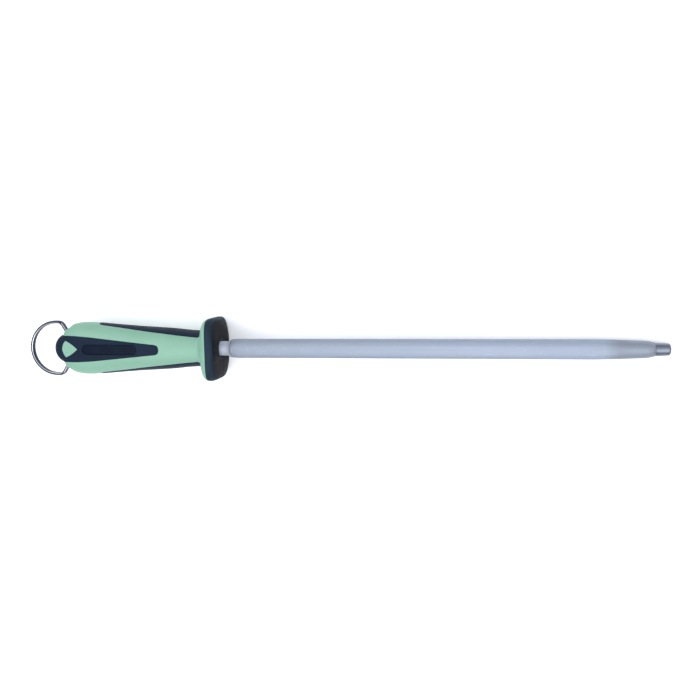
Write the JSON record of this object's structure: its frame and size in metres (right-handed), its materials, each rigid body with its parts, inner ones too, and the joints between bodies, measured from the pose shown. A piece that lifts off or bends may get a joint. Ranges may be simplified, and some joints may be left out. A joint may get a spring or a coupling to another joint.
{
  "type": "knife sharpening steel",
  "caption": "Round fine-cut butcher's sharpening steel with a square guard, a soft-grip handle and a swinging hanging ring.",
  "frame": {"origin": "on the rod's axis, where the rod reaches its full diameter in front of the guard and neck", "axes": "+X along the rod to its tip, +Y across the handle's width, +Z out of the handle's label face"},
  "size_m": [0.4433, 0.0432, 0.0432],
  "materials": {
    "cut_steel": "fine lengthwise cut, polished nose",
    "green_moulding": "fine moulded grain",
    "soft_grip": "matt soft-touch",
    "ring_steel": "polished"
  },
  "bodies": {
    "steel": {"sharpening_rod": "cut_steel", "handle_core": "green_moulding", "label_panel": "soft_grip", "left_side_grip": "soft_grip", "right_side_grip": "soft_grip", "guard_cover": "soft_grip"},
    "ring": {"hanging_ring": "ring_steel"}
  },
  "joints": [
    {"name": "ring_swing", "type": "hinge", "parent": "steel", "child": "ring", "pos_m": [-0.1283, 0, 0], "axis": [0, 1, 0], "range_deg": [-115, 115]}
  ]
}
